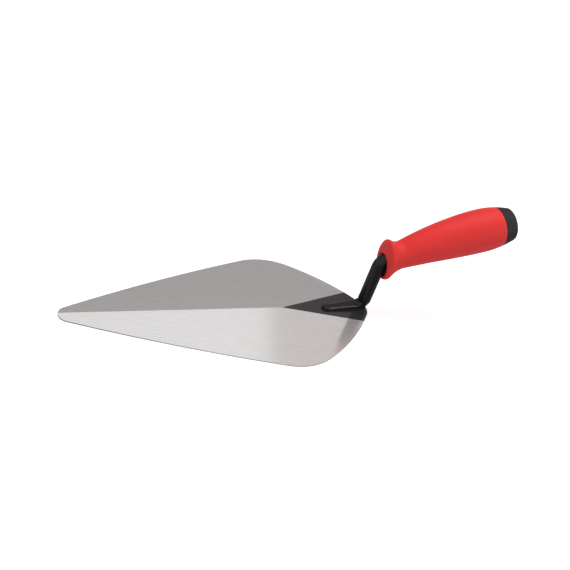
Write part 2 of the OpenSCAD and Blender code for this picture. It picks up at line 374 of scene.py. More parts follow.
class Effects:
    """Node groups that the finishes are made with."""

    # Coarse grain's share of the fine grain's scale, and fine grain's share of the height
    COARSE_SCALE, FINE_SHARE = 0.31, 0.6
    # Bands' share of the grinding lines' scale, and the stretch of the lines' noise that sets the gloss
    BAND_SCALE, LINE_STRETCH = 0.22, (0.44, 0.56)

    def __init__(self) -> None:
        """Builds the groups once."""
        self.grain = self._grain()
        self.streak = self._streak()
        self.rub = self._rub()

    def _grain(self) -> bpy.types.NodeTree:
        """Fine grain of moulded plastic and sprayed lacquer.

        Returns:
            The group, which puts out the grain's height from 0 to 1.
        """
        graph, given = new_group("fine_grain", ["Scale"], ["Height"])
        fine = graph.noise(given["Vector"], given["Scale"], detail=2.0)
        coarse_scale = graph.maths("MULTIPLY", given["Scale"], self.COARSE_SCALE)
        coarse = graph.noise(given["Vector"], coarse_scale, detail=1.0)
        fine_part = graph.maths("MULTIPLY", fine, self.FINE_SHARE)
        coarse_part = graph.maths("MULTIPLY", coarse, 1 - self.FINE_SHARE)
        graph.add("NodeGroupOutput", Height=graph.maths("ADD", fine_part, coarse_part))
        return graph.tree

    def _streak(self) -> bpy.types.NodeTree:
        """Grinding lines on steel.

        Returns:
            The group, which puts out their height, a roughness from Low to High and the tone of bands.
        """
        graph, given = new_group("grind_lines", ["Scale", "Low", "High"], ["Height", "Gloss", "Tone"])
        lines = graph.noise(given["Vector"], given["Scale"], detail=2.0, roughness=0.6)
        band_scale = graph.maths("MULTIPLY", given["Scale"], self.BAND_SCALE)
        bands = graph.noise(given["Vector"], band_scale, detail=3.0)
        gloss = graph.spread_to(lines, given["Low"], given["High"], *self.LINE_STRETCH)
        graph.add("NodeGroupOutput", Height=lines, Gloss=gloss, Tone=bands)
        return graph.tree

    def _rub(self) -> bpy.types.NodeTree:
        """Patches of handling.

        Returns:
            The group, which puts out a value that wanders from Low to High.
        """
        graph, given = new_group("handling_patches", ["Scale", "Low", "High"], ["Value"])
        patches = graph.noise(given["Vector"], given["Scale"], detail=4.0, roughness=0.55)
        graph.add("NodeGroupOutput", Value=graph.spread_to(patches, given["Low"], given["High"]))
        return graph.tree


def new_material(name: str) -> tuple[bpy.types.Material, Graph, bpy.types.Node]:
    """Starts a node material.

    Args:
        name: Name of the material.

    Returns:
        The material, its graph and its output node.
    """
    material = bpy.data.materials.new(name)
    material.use_nodes = True
    material.node_tree.nodes.clear()
    graph = Graph(material.node_tree)
    return material, graph, graph.add("ShaderNodeOutputMaterial")


# Finishes


@dataclass(frozen=True)
class GroundSteel:
    """Finely ground steel: a sharp gloss with the haze of fine grinding lines, duller at the back edges."""

    name: str
    colour: Colour
    dull: Colour
    roughness: tuple[float, float]
    metal: float
    stretch: Point = (0.1, 1.0, 1.0)
    line_scale: float = 4000.0
    line_depth: float = 0.000005
    bump: float = 0.03
    back_dull: float = 0.16
    back_reach: tuple[float, float] = (0.0, 0.016)

    def build(self, effects: Effects) -> bpy.types.Material:
        """Makes the material.

        Args:
            effects: Shared effects.

        Returns:
            The material.
        """
        material, graph, output = new_material(self.name)
        place = graph.add("ShaderNodeTexCoord").outputs["Object"]
        drawn = graph.add("ShaderNodeMapping", Vector=place, Scale=self.stretch)
        low, high = self.roughness
        lines = graph.group(
            effects.streak, Vector=drawn.outputs[0], Scale=self.line_scale, Low=low, High=high
        )
        tone = graph.spread_to(lines["Tone"], 0.0, 1.0)
        axes = graph.add("ShaderNodeSeparateXYZ", Vector=place).outputs
        outward = graph.maths("ADD", axes["X"], graph.maths("ABSOLUTE", axes["Y"]))
        wear_and_highlight = graph.spread_to(outward, 0.0, self.back_dull, *self.back_reach)
        bump = graph.add(
            "ShaderNodeBump", Strength=self.bump, Distance=self.line_depth, Height=lines["Height"]
        )
        shader = graph.add(
            "ShaderNodeBsdfPrincipled",
            Base_Color=graph.blend(tone, (*self.dull, 1), (*self.colour, 1)),
            Metallic=self.metal,
            Roughness=graph.maths("ADD", lines["Gloss"], wear_and_highlight),
            Normal=bump.outputs[0],
        )
        graph.feed(output.inputs["Surface"], shader.outputs[0])
        return material


@dataclass(frozen=True)
class Coating:
    """Opaque lacquer, rubber or plastic with a fine grain and patches of handling, and painted highlight
    lines where an edge group is given.
    """

    name: str
    colour: Colour
    worn: Colour
    roughness: tuple[float, float]
    grain_scale: float
    grain_depth: float
    bump: float = 0.3
    shine: float = 0.5
    metal: float = 0.0
    patch_scale: float = 60.0
    tone_scale: float = 36.0
    # Pale colour that an edge group blends in along edges: a painted highlight
    wear_and_highlight: Colour = (0.46, 0.45, 0.5)

    def build(self, effects: Effects, edges: bpy.types.NodeTree | None = None) -> bpy.types.Material:
        """Makes the material.

        Args:
            effects: Shared effects.
            edges: Group that puts out where painted highlight lines lighten the coating, if there are any.

        Returns:
            The material.
        """
        material, graph, output = new_material(self.name)
        place = graph.add("ShaderNodeTexCoord").outputs["Object"]
        grain = graph.group(effects.grain, Vector=place, Scale=self.grain_scale)
        low, high = self.roughness
        rub = graph.group(effects.rub, Vector=place, Scale=self.patch_scale, Low=low, High=high)
        tone = graph.spread_to(graph.noise(place, self.tone_scale, detail=3.0), 0.0, 1.0)
        bump = graph.add(
            "ShaderNodeBump", Strength=self.bump, Distance=self.grain_depth, Height=grain["Height"]
        )
        colour = graph.blend(tone, (*self.colour, 1), (*self.worn, 1))
        # Painted highlight: the edge group blends the colour towards the pale highlight colour along the
        # edges
        if edges:
            painted_highlight = graph.group(edges, Vector=place)["Value"]
            colour = graph.blend(painted_highlight, colour, (*self.wear_and_highlight, 1))
        shader = graph.add(
            "ShaderNodeBsdfPrincipled",
            Base_Color=colour,
            Metallic=self.metal,
            Roughness=rub["Value"],
            Specular_IOR_Level=self.shine,
            Normal=bump.outputs[0],
        )
        graph.feed(output.inputs["Surface"], shader.outputs[0])
        return material


GROUND_FACE = GroundSteel(
    "ground_face", (0.785, 0.775, 0.77), (0.715, 0.705, 0.7), (0.08, 0.14), metal=0.6
)
SHEARED_EDGE = Coating(
    "sheared_edge", (0.8, 0.78, 0.77), (0.68, 0.66, 0.65), (0.4, 0.55),
    grain_scale=1500, grain_depth=0.00003, metal=1.0,
)
LAND_LACQUER = Coating(
    "land_lacquer", (0.034, 0.0315, 0.033), (0.042, 0.039, 0.041), (0.12, 0.2),
    grain_scale=900, grain_depth=0.00002, bump=0.15,
)
SHANK_LACQUER = Coating(
    "shank_lacquer", (0.006, 0.005, 0.0058), (0.01, 0.0084, 0.0096), (0.26, 0.36),
    grain_scale=700, grain_depth=0.00004, shine=0.3,
)
WELD_LACQUER = Coating(
    "weld_lacquer", (0.003, 0.003, 0.003), (0.007, 0.0065, 0.0065), (0.2, 0.36),
    grain_scale=900, grain_depth=0.0002, bump=0.5, shine=0.2,
)
CORE_PLASTIC = Coating(
    "core_plastic", (0.006, 0.006, 0.006), (0.01, 0.01, 0.01), (0.5, 0.62),
    grain_scale=2200, grain_depth=0.00003,
)
SOFT_RED = Coating(
    "soft_red", (0.9, 0.031, 0.029), (0.87, 0.028, 0.027), (0.4, 0.52),
    grain_scale=2600, grain_depth=0.00003, bump=0.35, shine=0.45,
)
CAP_PLASTIC = Coating(
    "cap_plastic", (0.023, 0.0185, 0.0205), (0.029, 0.024, 0.0265), (0.38, 0.5),
    grain_scale=2400, grain_depth=0.00003, shine=0.2,
)


# Sub-assemblies


@dataclass
class Blade:
    """Flat kite-shaped blade with two ground faces and an un-ground land at its heel."""

    length: float = 0.2775
    width: float = 0.1399
    thickness: float = LAND_Z
    edge: float = 0.001
    shoulder_back: float = 0.087
    heel_out: float = 0.0035
    heel_side: float = 0.003
    tip_r: float = 0.0085
    side_r: float = 1.6
    shoulder_r: float = 0.0525
    back_r: float = 0.2
    heel_r: float = 0.0075
    heel_near_r: float = 0.0155
    land_l: float = 0.084
    land_w: float = 0.046
    land_side: float = 0.0006
    edge_break: float = 0.00012

    # Mesh steps of the arcs, and the limits that tell rims, folds, flat faces and level faces
    arc_steps: tuple[int, ...] = (16, 24, 28, 20, 12)
    rim_angle: float = math.radians(60)
    fold_angle: float = 0.005
    flat_z: float = 0.9
    level_z: float = 0.99999

    def build(self) -> bpy.types.Object:
        """Makes the blade's mesh.

        Returns:
            The piece, with its faces marked for their finishes.
        """
        bm = bmesh.new()
        for side in (1, -1):
            self._half_outline(bm, side)
        bmesh.ops.remove_doubles(bm, verts=bm.verts, dist=WELD_DISTANCE)
        plate = bmesh.ops.contextual_create(bm, geom=bm.edges)["faces"]
        raised = bmesh.ops.extrude_face_region(bm, geom=plate)["geom"]
        bmesh.ops.translate(
            bm, vec=(0, 0, self.thickness), verts=[part for part in raised if isinstance(part, BMVert)]
        )
        for side in (1, -1):
            self._grind(bm, side)
        tidy(bm)
        rim = [edge for edge in bm.edges if edge.calc_face_angle(0) > self.rim_angle]
        upright = [edge for edge in rim if abs(edge.verts[0].co.z - edge.verts[1].co.z) > self.edge / 2]
        flat_rim = [edge for edge in rim if edge not in upright]
        round_edges(bm, flat_rim, self.edge_break, segments=2)
        for face in bm.faces:
            face.material_index = self._finish_of(face)
        for edge in bm.edges:
            edge.smooth = not self._is_fold(edge)
        return make_piece(bm, "ground_blade", "blade", smooth_angle=12)

    def dress(self, piece: bpy.types.Object, effects: Effects) -> None:
        """Gives the blade its ground faces, its lacquered land and its sheared edge."""
        for finish in (GROUND_FACE, LAND_LACQUER, SHEARED_EDGE):
            piece.data.materials.append(finish.build(effects))

    def _half_outline(self, bm: BMesh, side: int) -> None:
        """Draws one half of the outline from tip to heel as a chain of spun arcs.

        Args:
            bm: Mesh that receives the edges.
            side: 1 for the half on +Y, -1 for the other.
        """
        tip_x = self.heel_out - self.length
        tip = Vector((tip_x + self.tip_r, 0))
        shoulder = Vector((self.heel_out - self.shoulder_back, self.width / 2 - self.shoulder_r))
        heel_r = self.heel_r if side > 0 else self.heel_near_r
        heel = Vector((self.heel_out - heel_r, -side * self.heel_side))
        flank = self._outer_middle(tip, self.tip_r, shoulder, self.shoulder_r, self.side_r)
        back = self._outer_middle(shoulder, self.shoulder_r, heel, heel_r, self.back_r)
        turns = [
            math.pi,
            self._angle(flank, tip),
            self._angle(flank, shoulder),
            self._angle(back, shoulder),
            self._angle(back, heel),
            0.0,
        ]
        vert = bm.verts.new((tip_x, 0, 0))
        middles = (tip, flank, shoulder, back, heel)
        for middle, steps, start, end in zip(middles, self.arc_steps, turns, turns[1:]):
            chain = bmesh.ops.spin(
                bm,
                geom=[vert],
                cent=(middle.x, side * middle.y, 0),
                axis=(0, 0, 1),
                angle=side * (end - start),
                steps=steps,
            )
            vert = next(part for part in chain["geom_last"] if isinstance(part, BMVert))

    @staticmethod
    def _angle(start: Vector, end: Vector) -> float:
        """Direction from one place to another, in radians."""
        return math.atan2(end.y - start.y, end.x - start.x)

    @staticmethod
    def _outer_middle(a: Vector, a_r: float, b: Vector, b_r: float, outer_r: float) -> Vector:
        """Finds the middle of a large circle that two small ones touch from inside.

        Args:
            a: Middle of the first circle.
            a_r: Its radius.
            b: Middle of the second circle.
            b_r: Its radius.
            outer_r: Radius of the large circle.

        Returns:
            The large circle's middle, on the right of the way from a to b.
        """
        gap = (b - a).length
        along = (b - a) / gap
        reach = ((outer_r - a_r) ** 2 - (outer_r - b_r) ** 2 + gap**2) / (2 * gap)
        across = math.sqrt((outer_r - a_r) ** 2 - reach**2)
        return a + along * reach + Vector((along.y, -along.x)) * across

    def _grind(self, bm: BMesh, side: int) -> None:
        """Cuts one ground face, which falls from the land's side to the edge.

        Args:
            bm: The blade's mesh.
            side: 1 for the face on +Y, -1 for the other.
        """
        turn = math.atan2(self.land_w / 2 - side * self.land_side, self.land_l)
        apex = Vector((self.heel_out - self.land_l, 0, self.thickness))
        widest = self.heel_out - self.shoulder_back
        reach = (self.width / 2 - (widest - apex.x) * math.tan(turn)) * math.cos(turn)
        fall = math.atan2(self.thickness - self.edge, reach)
        normal = Vector(
            (-math.sin(turn) * math.sin(fall), side * math.cos(turn) * math.sin(fall), math.cos(fall))
        )
        bmesh.ops.contextual_create(bm, geom=cut_off(bm, apex, normal))

    def _is_fold(self, edge: BMEdge) -> bool:
        """Tells whether two flat faces meet at the edge, at the ridge or at a side of the land."""
        flat = all(abs(face.normal.z) > self.flat_z for face in edge.link_faces)
        return flat and edge.calc_face_angle(0) > self.fold_angle

    def _finish_of(self, face: BMFace) -> BladeFinish:
        """Tells the ground faces and the underside from the land and from the sheared edge.

        Args:
            face: A face of the blade.

        Returns:
            The face's finish.
        """
        if abs(face.normal.z) < self.flat_z:
            return BladeFinish.SHEARED
        at_top = face.calc_center_median().z > self.thickness - WELD_DISTANCE
        return BladeFinish.LAND if at_top and face.normal.z > self.level_z else BladeFinish.GROUND


@dataclass
class Shank:
    """Forged gooseneck: a flat foot, an upright neck and a tang, with a weld bead round the foot."""

    land_z: float = LAND_Z
    neck_d: float = 0.012
    base_d: float = 0.007
    base_h: float = 0.008
    crossing_h: float = CROSSING_H
    bend_r: float = 0.012
    foot_l: float = 0.041
    foot_w: float = 0.0095
    nose_w: float = 0.0065
    foot_h: float = 0.0045
    nose_l: float = 0.004
    nose_h: float = 0.0023
    foot_turn: float = math.radians(4)
    nose_blunt: float = 0.35
    fillet_r: float = 0.002
    edge_round: float = 0.0013
    tang_d: float = 0.009
    tang_l: float = 0.078
    point_l: float = 0.009
    point_d: float = 0.0054
    handle_tilt: float = HANDLE_TILT
    voxel: float = 0.0003
    bead_r: float = 0.0012
    bead_nose_r: float = 0.002
    bead_sink: float = 0.0004
    ripple: float = 0.1
    ripple_steps: int = 3

    # Painted highlight lines along the foot's top edges, drawn as lighter lacquer
    highlight_w: float = 0.0012
    highlight_scale: float = 400.0
    highlight_near: float = 0.45
    highlight_least: float = 0.2

    # Mesh steps, and the least angle of the foot's rim
    bar_sides: int = 64
    bend_steps: int = 14
    nose_cuts: int = 6
    fillet_cuts: int = 5
    rim_angle: float = math.radians(50)
    bead_sides: int = 14
    side_steps: int = 26
    nose_steps: int = 24

    def __post_init__(self) -> None:
        """Works out where the foot's nose ends and where its fillet to the neck starts."""
        self.nose_x = self.nose_l - self.foot_l
        self.root_x = -self.neck_d / 2 - self.fillet_r

    def build(self) -> tuple[bpy.types.Object, bpy.types.Object]:
        """Makes the forging and its weld bead.

        Returns:
            The forging and the bead.
        """
        bm = bmesh.new()
        self._bar(bm)
        self._foot(bm)
        tidy(bm)
        forging = make_piece(bm, "gooseneck_shank", "shank", smooth_angle=180)
        fuse = forging.modifiers.new("forged_in_one", "REMESH")
        fuse.mode = "VOXEL"
        fuse.voxel_size = self.voxel
        fuse.use_smooth_shade = True
        ease = forging.modifiers.new("soft_forging", "SMOOTH")
        ease.factor = 0.5
        ease.iterations = 2
        return forging, self._bead()

    def dress(self, forging: bpy.types.Object, bead: bpy.types.Object, effects: Effects) -> None:
        """Gives the forging and the bead their lacquer, with painted highlight lines along the foot's top
        edges.
        """
        forging.data.materials.append(SHANK_LACQUER.build(effects, self._painted_edge_highlights()))
        bead.data.materials.append(WELD_LACQUER.build(effects))

    def _painted_edge_highlights(self) -> bpy.types.NodeTree:
        """Painted highlight lines along the foot's top edges, fuller on the far edge and broken up by
        noise.

        Returns:
            The group, which puts out 1 where the highlight is painted at full strength and 0 where the
            lacquer keeps its own colour.
        """
        graph, given = new_group("painted_edge_highlights", [], ["Value"])
        turned = graph.add("ShaderNodeMapping", Vector=given["Vector"], Rotation=(0, 0, -self.foot_turn))
        axes = graph.add("ShaderNodeSeparateXYZ", Vector=turned.outputs[0]).outputs
        half_w = graph.spread_to(axes["X"], self.nose_w / 2, self.foot_w / 2, self.nose_x, self.root_x)
        crown = graph.spread_to(axes["X"], self.nose_h, self.foot_h, -self.foot_l, self.root_x)
        inward = graph.maths("SUBTRACT", half_w, graph.maths("ABSOLUTE", axes["Y"]))
        height = graph.maths("SUBTRACT", axes["Z"], self.land_z)
        below = graph.maths("SUBTRACT", crown, height)
        off_edge = graph.maths("ABSOLUTE", graph.maths("SUBTRACT", inward, below))
        line = graph.spread_to(off_edge, 1.0, 0.0, 0.0, self.highlight_w)
        for low, high, start in ((0.0, 1.0, self.nose_x), (1.0, 0.0, self.root_x)):
            fade = graph.spread_to(axes["X"], low, high, start, start + self.fillet_r)
            line = graph.maths("MULTIPLY", line, fade)
        patches = graph.noise(given["Vector"], self.highlight_scale, detail=2.0)
        patchy = graph.spread_to(patches, self.highlight_least, 1.0)
        one_sided = graph.spread_to(axes["Y"], self.highlight_near, 1.0, -self.highlight_w, self.highlight_w)
        line = graph.maths("MULTIPLY", line, one_sided)
        graph.add("NodeGroupOutput", Value=graph.maths("MULTIPLY", line, patchy))
        return graph.tree

    def _bar(self, bm: BMesh) -> None:
        """Lofts the neck, the bend and the tang as one round bar.

        Args:
            bm: Mesh that receives the bar.
        """
        turn = math.pi / 2 - self.handle_tilt
        reach = self.bend_r * math.tan(turn / 2)
        bend_z = self.crossing_h - reach
        axis = Vector((math.cos(self.handle_tilt), 0, math.sin(self.handle_tilt)))
        crossing = Vector((0, 0, self.crossing_h))
        stops: list[tuple[Vector, float, float]] = [
            (Vector((0, 0, self.land_z)), 0.0, self.base_d),
            (Vector((0, 0, self.land_z + self.base_h)), 0.0, self.neck_d),
            (Vector((0, 0, bend_z)), 0.0, self.neck_d),
        ]
        for angle in spread(0, turn, self.bend_steps):
            offset = Vector((1 - math.cos(angle), 0, math.sin(angle))) * self.bend_r
            stops.append((Vector((0, 0, bend_z)) + offset, angle, self.neck_d))
        shoulder = reach + self.neck_d - self.tang_d
        end = reach + self.tang_l
        tang = ((shoulder, self.tang_d), (end - self.point_l, self.tang_d), (end, self.point_d))
        stops += [(crossing + axis * along, turn, width) for along, width in tang]
        places = []
        for spot, angle, width in stops:
            side = Vector((math.cos(angle), 0, -math.sin(angle))) * (width / 2)
            places.append(ring_place(spot, side, Vector((0, width / 2, 0))))
        loft(bm, places, self.bar_sides, closed_ends=True)

    def _crown(self, x: float) -> float:
        """Height of the foot above the land: a wedge that ends in a fillet at the neck.

        Args:
            x: Place along the foot.

        Returns:
            The height.
        """
        near = clamp01((x - self.root_x) / self.fillet_r)
        along = clamp01((x + self.foot_l) / (self.foot_l + self.root_x))
        return mix(self.nose_h, self.foot_h, along) + self.fillet_r * (1 - math.sqrt(1 - near * near))

    def _half_w(self, x: float) -> float:
        """Half width of the foot's straight sides, which narrow to the nose and under the neck.

        Args:
            x: Place along the foot.

        Returns:
            The half width.
        """
        along = clamp01((x - self.nose_x) / (self.root_x - self.nose_x))
        under = clamp01(1 + 2 * x / self.neck_d)
        return mix(mix(self.nose_w, self.foot_w, along), self.base_d, under) / 2

    def _foot(self, bm: BMesh) -> None:
        """Shapes the foot from a cut and bevelled block, low and narrow at its rounded nose.

        The block starts 1 high and reaches 1 to each side, so that the crown and the half width scale it.

        Args:
            bm: Mesh that receives the foot.
        """
        block = bmesh.ops.create_cube(bm, size=1.0)["verts"]
        lift = Matrix.Translation((-self.foot_l / 2, 0, self.land_z + 0.5))
        bmesh.ops.transform(bm, matrix=lift @ Matrix.Diagonal((self.foot_l, 2, 1, 1)), verts=block)
        faces = {face for vert in block for face in vert.link_faces}
        cuts = spread(-self.foot_l, self.nose_x, self.nose_cuts)
        cuts += spread(self.root_x, -self.neck_d / 2, self.fillet_cuts)
        for station in [*cuts, self.root_x]:
            geom = list({part for face in faces for part in (face, *face.edges, *face.verts)})
            cut = bmesh.ops.bisect_plane(bm, geom=geom, plane_co=(station, 0, 0), plane_no=(1, 0, 0))
            faces |= {face for part in cut["geom_cut"] for face in part.link_faces}
            faces = {face for face in faces if face.is_valid}
        for vert in {vert for face in faces for vert in face.verts}:
            ahead = clamp01((vert.co.x + self.foot_l) / self.nose_l)
            nose = mix(self.nose_blunt, 1.0, math.sqrt(1 - (1 - ahead) ** 2))
            vert.co.y *= nose * self._half_w(vert.co.x)
            vert.co.z = self.land_z + (vert.co.z - self.land_z) * self._crown(vert.co.x)
        self._turn(bm, {vert for face in faces for vert in face.verts})
        top = self.land_z + self.nose_h / 2
        rim = [
            edge
            for edge in {edge for face in faces for edge in face.edges}
            if all(vert.co.z > top for vert in edge.verts) and edge.calc_face_angle(0) > self.rim_angle
        ]
        round_edges(bm, rim, self.edge_round, segments=3)

    def _turn(self, bm: BMesh, verts: set[BMVert]) -> None:
        """Turns the foot or its bead about the neck."""
        turn = Matrix.Rotation(self.foot_turn, 3, "Z")
        bmesh.ops.rotate(bm, cent=(0, 0, 0), matrix=turn, verts=list(verts))

    def _bead(self) -> bpy.types.Object:
        """Lofts the weld bead round the foot, thicker at the nose, with its ripples.

        Returns:
            The piece.
        """
        bm = bmesh.new()
        stations = spread(-self.base_d / 2, self.nose_x, self.side_steps)
        straight = [(x, self._half_w(x), 0.0) for x in stations]
        reach, half_w = self.nose_l - self.bead_sink, self.nose_w / 2
        nose = [
            (self.nose_x - reach * math.sin(angle), half_w * math.cos(angle), math.sin(angle))
            for angle in spread(0, math.pi, self.nose_steps)
        ]
        path = straight + nose + [(x, -y, lump) for x, y, lump in reversed(straight)]
        spots = [Vector((x, y, self.land_z + self.bead_sink)) for x, y, _ in path]
        places = []
        for i, (spot, (_, _, lump)) in enumerate(zip(spots, path)):
            ahead = (spots[min(i + 1, len(spots) - 1)] - spots[max(i - 1, 0)]).normalized()
            ripple = 1 + self.ripple * math.sin(i * math.tau / self.ripple_steps)
            radius = mix(self.bead_r, self.bead_nose_r, lump**3) * ripple
            places.append(ring_place(spot, ahead.cross(Vector((0, 0, 1))) * radius, Vector((0, 0, radius))))
        loft(bm, places, self.bead_sides, closed_ends=True)
        tidy(bm)
        cut_off(bm, Vector((0, 0, self.land_z)), Vector((0, 0, -1)))
        bmesh.ops.holes_fill(bm, edges=[edge for edge in bm.edges if edge.is_boundary])
        self._turn(bm, set(bm.verts))
        tidy(bm)
        return make_piece(bm, "foot_weld", "weld_bead", smooth_angle=70)


@dataclass
class Handle:
    """Moulded handle: a hard core on the tang, a soft sleeve with a flange, and an end cap."""

    crossing_h: float = CROSSING_H
    tilt: float = HANDLE_TILT
    grip_l: float = 0.1125
    mouth_at: float = 0.0017
    flange_h: float = 0.0405
    flange_w: float = 0.029
    flange_l: float = 0.0045
    front_start: float = -0.0001
    flange_lean: float = math.radians(10)
    lean_l: float = 0.0255
    lip_w: float = 0.0012
    neck_in: float = 0.012
    flare: float = 1.9
    crest_round: float = 0.0025
    waist_d: float = 0.0252
    belly_d: float = 0.0395
    belly_ahead: float = 0.0165
    rear_d: float = 0.0365
    grip_bow: float = 0.002
    swell_start: float = 1.35
    core_d: float = 0.0195
    mouth_h: float = 0.023
    mouth_w: float = 0.0175
    mouth_drop: float = 0.0046
    nose_set: float = 0.001
    butt_l: float = 0.004
    butt_step: float = 0.0005
    cap_l: float = 0.0135
    cap_rim_r: float = 0.0025
    cap_dome: float = 0.0008
    cap_gap: float = 0.0001
    seam: float = 0.0003
    spigot_d: float = 0.016
    spigot_l: float = 0.006

    # Mesh steps
    sides: int = 96
    core_sides: int = 64
    front_steps: int = 14
    flare_steps: int = 24
    swell_steps: int = 40
    tail_steps: int = 10
    core_steps: tuple[int, int] = (10, 2)
    cap_steps: int = 8
    rim_steps: int = 10
    dome_steps: int = 10

    def __post_init__(self) -> None:
        """Works out the stations along the handle's axis."""
        self.crest_at = self.mouth_at + self.flange_l
        self.waist_at = self.crest_at + self.neck_in
        self.rear_at = self.mouth_at + self.grip_l
        self.belly_at = self.rear_at - self.belly_ahead
        self.arch_half = (self.rear_at - self.waist_at) / 2
        self.place = Matrix.Translation((0, 0, self.crossing_h)) @ Matrix.Rotation(-self.tilt, 4, "Y")

    def build(self) -> tuple[bpy.types.Object, bpy.types.Object, bpy.types.Object]:
        """Makes the core, the sleeve and the cap and returns the pieces."""
        return self._core(), self._sleeve(), self._cap()

    def dress(
        self, core: bpy.types.Object, sleeve: bpy.types.Object, cap: bpy.types.Object, effects: Effects
    ) -> None:
        """Gives the three mouldings their plastics."""
        for piece, finish in ((core, CORE_PLASTIC), (sleeve, SOFT_RED), (cap, CAP_PLASTIC)):
            piece.data.materials.append(finish.build(effects))

    def _arch(self, s: float) -> float:
        """Share of the way from the arch's middle to its end at station s."""
        return (s - self.waist_at) / self.arch_half - 1

    def _bow(self, s: float) -> float:
        """Height of a ring's middle above the axis."""
        return self.grip_bow * (1 - self._arch(s) ** 2)

    def _arch_lean(self, s: float) -> float:
        """Lean of a ring that stands square to the arch."""
        return math.atan(2 * self.grip_bow * self._arch(s) / self.arch_half)

    def _lean(self, s: float) -> float:
        """Lean of the ring at station s, which fades from the flange's lean."""
        return mix(self.flange_lean, self._arch_lean(s), smooth(clamp01((s - self.waist_at) / self.lean_l)))

    def _swell(self, u: float) -> float:
        """Share of the swell from the waist to the belly."""
        start = self.swell_start
        return start * u + (3 - 2 * start) * u**2 + (start - 2) * u**3

    def _tail_r(self, s: float) -> float:
        """Radius behind the belly, which the cap continues."""
        u = (s - self.belly_at) / self.belly_ahead
        return (self.belly_d - (self.belly_d - self.rear_d) * u * u) / 2

    def _ring(
        self, s: float, radius: float, squeeze: float = 1.0, drop: float = 0.0, inward: float = 0.0
    ) -> Matrix:
        """Place of one ring of the sleeve.

        Args:
            s: Station along the axis.
            radius: Upright radius of the ring.
            squeeze: Share of the radius that is left across.
            drop: Shift of the ring's middle down its own plane.
            inward: Shift along the ring's own axis.

        Returns:
            The ring's place.
        """
        lean = self._lean(s)
        up = Vector((math.sin(lean), 0, math.cos(lean)))
        ahead = Vector((math.cos(lean), 0, -math.sin(lean)))
        middle = Vector((s, 0, self._bow(s))) - up * drop + ahead * inward
        return self.place @ ring_place(middle, Vector((0, -radius * squeeze, 0)), up * radius)

    def _mouth_ring(self, wider: float, inward: float) -> Matrix:
        """Place of a ring inside the oval mouth.

        Args:
            wider: Width that is added all round.
            inward: Shift along the mouth's axis.

        Returns:
            The ring's place.
        """
        half_h = self.mouth_h / 2 + wider
        oval = (self.mouth_w / 2 + wider) / half_h
        return self._ring(self.mouth_at, half_h, oval, self.mouth_drop, inward)

    def _flange_ring(self, s: float) -> Matrix:
        """Place of a ring between the mouth and the waist: a rounded front that turns into a flare.

        Args:
            s: Station along the axis.

        Returns:
            The ring's place.
        """
        lip_r, half_h, half_waist = self.mouth_h / 2 + self.lip_w, self.flange_h / 2, self.waist_d / 2
        lip_oval, oval = (self.mouth_w / 2 + self.lip_w) / lip_r, self.flange_w / self.flange_h
        ahead = clamp01((self.crest_at - s) / self.flange_l)
        rise = math.sqrt(1 - ahead * ahead)
        behind = min(1.0, (s - self.crest_at) / self.neck_in)
        front = mix(lip_r, half_h, rise)
        back = mix(half_waist, half_h, (1 - behind) ** self.flare)
        share = clamp01(0.5 + (back - front) / (2 * self.crest_round))
        radius = mix(back, front, share) - self.crest_round * share * (1 - share)
        squeeze = mix(lip_oval, oval, rise) if behind < 0 else mix(oval, 1.0, smooth(behind))
        return self._ring(s, radius, squeeze, self.mouth_drop * (1 - rise))

    def _sleeve(self) -> bpy.types.Object:
        """Lofts the soft sleeve from its mouth over the flange, waist and belly to its rear edge.

        Returns:
            The piece.
        """
        bm = bmesh.new()
        core_r = self.core_d / 2
        rings = [
            self._mouth_ring(self.cap_gap, self.flange_l / 2),
            self._mouth_ring(self.cap_gap, self.seam * 2),
            self._mouth_ring(self.cap_gap + self.seam, self.seam / 2),
            self._mouth_ring(self.cap_gap + self.seam * 2, 0.0),
        ]
        turns = spread(self.front_start, math.pi / 2, self.front_steps)
        front = [self.crest_at - self.flange_l * math.cos(angle) for angle in turns]
        flare = spread(self.crest_at, self.waist_at, self.flare_steps)
        rings += [self._flange_ring(s) for s in front + flare]
        for u in spread(0, 1, self.swell_steps):
            radius = mix(self.waist_d, self.belly_d, self._swell(u)) / 2
            rings.append(self._ring(mix(self.waist_at, self.belly_at, u), radius))
        for s in spread(self.belly_at, self.rear_at - self.seam, self.tail_steps):
            rings.append(self._ring(s, self._tail_r(s)))
        rear_r = self._tail_r(self.rear_at)
        rings.append(self._ring(self.rear_at, rear_r - self.seam))
        rings.append(self._ring(self.rear_at, core_r))
        rings.append(self._ring(self.rear_at, core_r, inward=-self.butt_l))
        loft(bm, rings, self.sides, closed_ends=False)
        tidy(bm)
        return make_piece(bm, "soft_grip", "grip_sleeve", smooth_angle=50)

    def _core_ring(self, s: float, smaller: float = 0.0) -> Matrix:
        """Place of a ring of the core, oval and leaning in the mouth and round behind the waist.

        Args:
            s: Station along the axis.
            smaller: Width that is taken off all round.

        Returns:
            The ring's place.
        """
        share = 1 - smooth(clamp01((s - self.mouth_at) / (self.waist_at - self.mouth_at)))
        lean = self.flange_lean * share
        up = Vector((math.sin(lean), 0, math.cos(lean)))
        middle = Vector((s, 0, self._bow(self.mouth_at) * share)) - up * self.mouth_drop * share
        half_h = mix(self.core_d, self.mouth_h, share) / 2 - smaller
        half_w = mix(self.core_d, self.mouth_w, share) / 2 - smaller
        return self.place @ ring_place(middle, Vector((0, -half_w, 0)), up * half_h)

